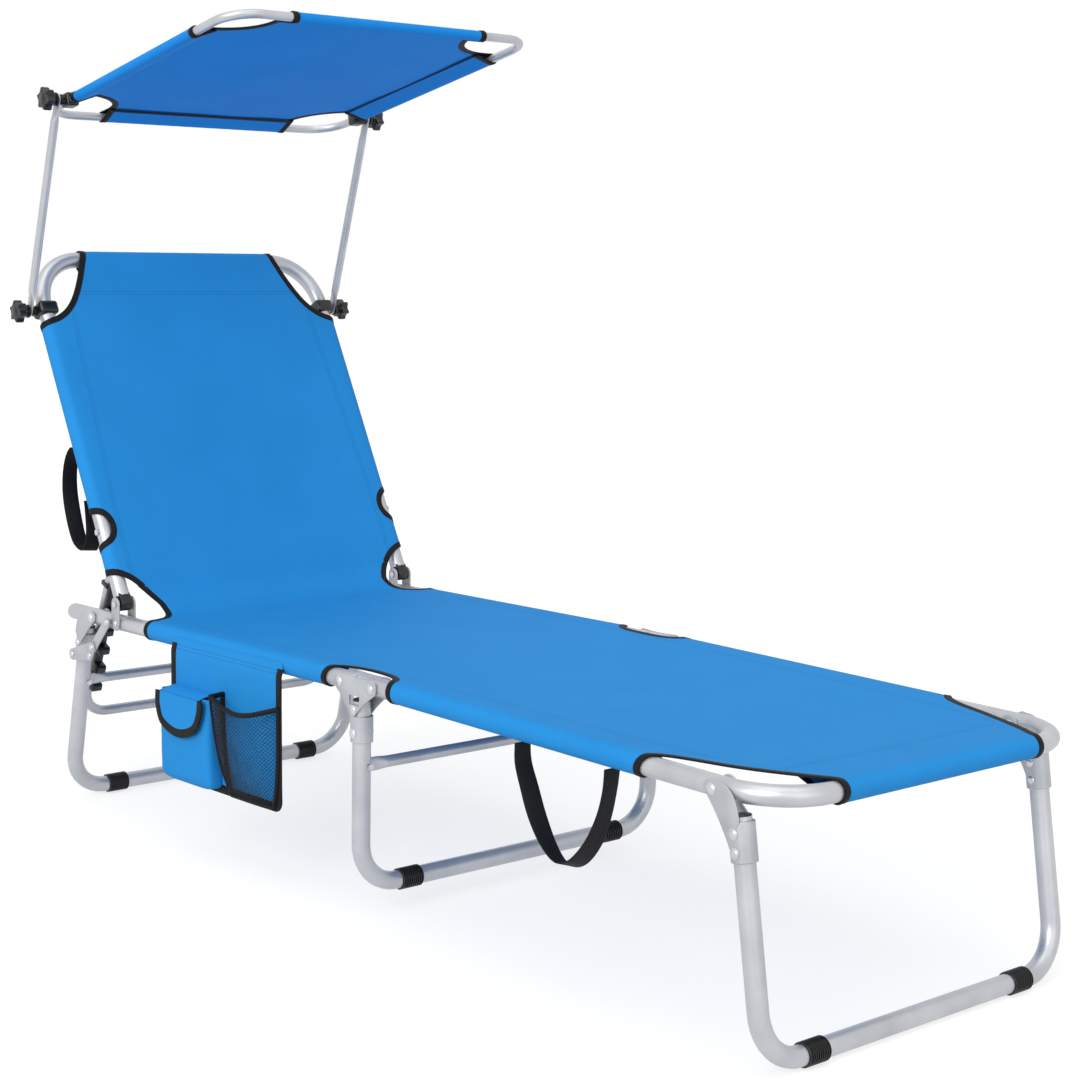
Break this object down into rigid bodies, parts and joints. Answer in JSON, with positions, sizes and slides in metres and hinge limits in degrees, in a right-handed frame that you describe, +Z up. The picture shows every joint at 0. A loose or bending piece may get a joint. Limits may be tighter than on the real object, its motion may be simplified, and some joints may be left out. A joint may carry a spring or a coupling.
{
  "type": "folding sun lounger with canopy",
  "caption": "Folding tube-frame lounger with taut sling, adjustable backrest on a notched prop, three folding U legs, tilting head canopy and side pockets.",
  "frame": {"origin": "middle of the footprint, on the floor", "axes": "+X toward the foot end, +Y to the sitter's left, +Z up"},
  "size_m": [1.6668, 0.639, 1.2166],
  "materials": {
    "silver_tube": "satin silver powder coat on steel tube",
    "pressed_plate": "satin silver powder coat on pressed steel",
    "rivet": "zinc plated steel",
    "sling_cloth": "woven blue polyester with black binding",
    "canopy_cloth": "woven blue polyester with black binding",
    "black_webbing": "black polypropylene webbing",
    "pocket_cloth": "woven blue polyester with black binding",
    "pocket_mesh": "black knitted mesh",
    "black_plastic": "moulded black nylon",
    "foot_rubber": "black ribbed rubber-like plastic"
  },
  "bodies": {
    "seat": {"seat_sling": "sling_cloth", "seat_rail_left": "silver_tube", "seat_rail_right": "silver_tube", "pocket_organiser": "pocket_cloth", "mesh_pocket": "pocket_mesh", "back_hinge_left": "pressed_plate", "back_hinge_right": "pressed_plate"},
    "flap": {"pocket_flap": "pocket_cloth"},
    "mid_leg": {"mid_leg_frame": "silver_tube", "mid_brace": "silver_tube", "mid_bracket_left": "pressed_plate", "mid_bracket_right": "pressed_plate", "mid_pad_left": "foot_rubber", "mid_pad_right": "foot_rubber", "mid_brace_bolt_left": "rivet", "mid_brace_bolt_right": "rivet"},
    "foot": {"foot_frame": "silver_tube", "foot_sling": "sling_cloth", "foot_strap": "black_webbing"},
    "foot_leg": {"foot_leg_frame": "silver_tube", "foot_bracket_left": "pressed_plate", "foot_bracket_right": "pressed_plate", "foot_pad_left": "foot_rubber", "foot_pad_right": "foot_rubber"},
    "rear_leg": {"rear_leg_frame": "silver_tube", "rear_brace": "silver_tube", "rear_bracket_left": "pressed_plate", "rear_bracket_right": "pressed_plate", "rear_pad_left": "foot_rubber", "rear_pad_right": "foot_rubber", "rear_brace_bolt_left": "rivet", "rear_brace_bolt_right": "rivet"},
    "rear_links": {"rear_link_left": "pressed_plate", "rear_link_right": "pressed_plate"},
    "rear_toggles": {"rear_toggle_left": "pressed_plate", "rear_toggle_right": "pressed_plate"},
    "back_pivots": {"back_pivot_left": "rivet", "back_pivot_right": "rivet"},
    "backrest": {"back_frame": "silver_tube", "back_plug_left": "black_plastic", "back_plug_right": "black_plastic", "back_sling": "sling_cloth", "back_strap": "black_webbing", "arm_clamp_left": "black_plastic", "arm_clamp_right": "black_plastic"},
    "prop": {"prop_pivot_left": "rivet", "prop_pivot_right": "rivet", "prop_frame": "silver_tube", "prop_rack_left": "black_plastic", "prop_rack_right": "black_plastic"},
    "canopy_arms": {"canopy_arm_left": "silver_tube", "canopy_arm_right": "silver_tube"},
    "canopy": {"canopy_frame": "silver_tube", "canopy_cloth": "canopy_cloth", "canopy_clamp_left": "black_plastic", "canopy_clamp_right": "black_plastic"},
    "arm_knobs": {"lower_knob_left": "black_plastic", "lower_knob_right": "black_plastic"},
    "knob_ul": {"upper_knob_left": "black_plastic"},
    "knob_ur": {"upper_knob_right": "black_plastic"}
  },
  "joints": [
    {"name": "mid_leg_fold", "type": "hinge", "parent": "seat", "child": "mid_leg", "pos_m": [0.04, 0, 0.31961], "axis": [0, 1, 0], "range_deg": [0, 88]},
    {"name": "foot_fold", "type": "hinge", "parent": "mid_leg", "child": "foot", "pos_m": [0.108, 0, 0.31966], "axis": [0, 1, 0], "range_deg": [0, 83], "deforming": ["foot_strap"]},
    {"name": "foot_leg_fold", "type": "hinge", "parent": "foot", "child": "foot_leg", "pos_m": [0.729, 0, 0.31457], "axis": [0, 1, 0], "range_deg": [0, 99]},
    {"name": "rear_leg_fold", "type": "hinge", "parent": "seat", "child": "rear_leg", "pos_m": [-0.618, 0, 0.3102], "axis": [0, -1, 0], "range_deg": [0, 101]},
    {"name": "rear_link_turn", "type": "hinge", "parent": "seat", "child": "rear_links", "pos_m": [-0.561, 0, 0.31101], "axis": [0, -1, 0], "range_deg": [0, 153]},
    {"name": "rear_toggle_turn", "type": "hinge", "parent": "rear_leg", "child": "rear_toggles", "pos_m": [-0.66372, 0, 0.24622], "axis": [0, -1, 0], "range_deg": [-76, 0]},
    {"name": "backrest_fold", "type": "hinge", "parent": "seat", "child": "back_pivots", "pos_m": [-0.543, 0, 0.34157], "axis": [0, 1, 0], "range_deg": [0, 116]},
    {"name": "backrest_recline", "type": "hinge", "parent": "back_pivots", "child": "backrest", "pos_m": [-0.543, 0, 0.34157], "axis": [0, 1, 0], "range_deg": [-62, 0], "deforming": ["back_strap"]},
    {"name": "prop_swing", "type": "hinge", "parent": "backrest", "child": "prop", "pos_m": [-0.59886, 0, 0.44664], "axis": [0, 1, 0], "range_deg": [0, 132]},
    {"name": "arm_knobs_turn", "type": "hinge", "parent": "backrest", "child": "arm_knobs", "pos_m": [-0.78079, 0, 0.78028], "axis": [0, -1, 0], "range_deg": [0, 142]},
    {"name": "canopy_arms_tilt", "type": "hinge", "parent": "arm_knobs", "child": "canopy_arms", "pos_m": [-0.78079, 0, 0.78028], "axis": [0, -1, 0], "range_deg": [-35, 60]},
    {"name": "canopy_tilt", "type": "hinge", "parent": "canopy_arms", "child": "canopy", "pos_m": [-0.68309, 0, 1.10594], "axis": [0, 1, 0], "range_deg": [-50, 96]},
    {"name": "knob_ul", "type": "hinge", "parent": "canopy_arms", "child": "knob_ul", "pos_m": [-0.68309, 0, 1.10594], "axis": [0, 1, 0], "continuous": true},
    {"name": "knob_ur", "type": "hinge", "parent": "canopy_arms", "child": "knob_ur", "pos_m": [-0.68309, 0, 1.10594], "axis": [0, 1, 0], "continuous": true},
    {"name": "flap_lift", "type": "hinge", "parent": "seat", "child": "flap", "pos_m": [-0.30396, -0.3178, 0.24468], "axis": [-1, 0, 0], "range_deg": [0, 110]}
  ],
  "couplings": [
    {"joint": "rear_link_turn", "follows": "rear_leg_fold", "ratio": 1.5},
    {"joint": "rear_toggle_turn", "follows": "rear_leg_fold", "ratio": -0.736},
    {"joint": "prop_swing", "follows": "backrest_recline", "ratio": -2.1},
    {"joint": "arm_knobs_turn", "follows": "backrest_fold", "ratio": 1.207}
  ]
}
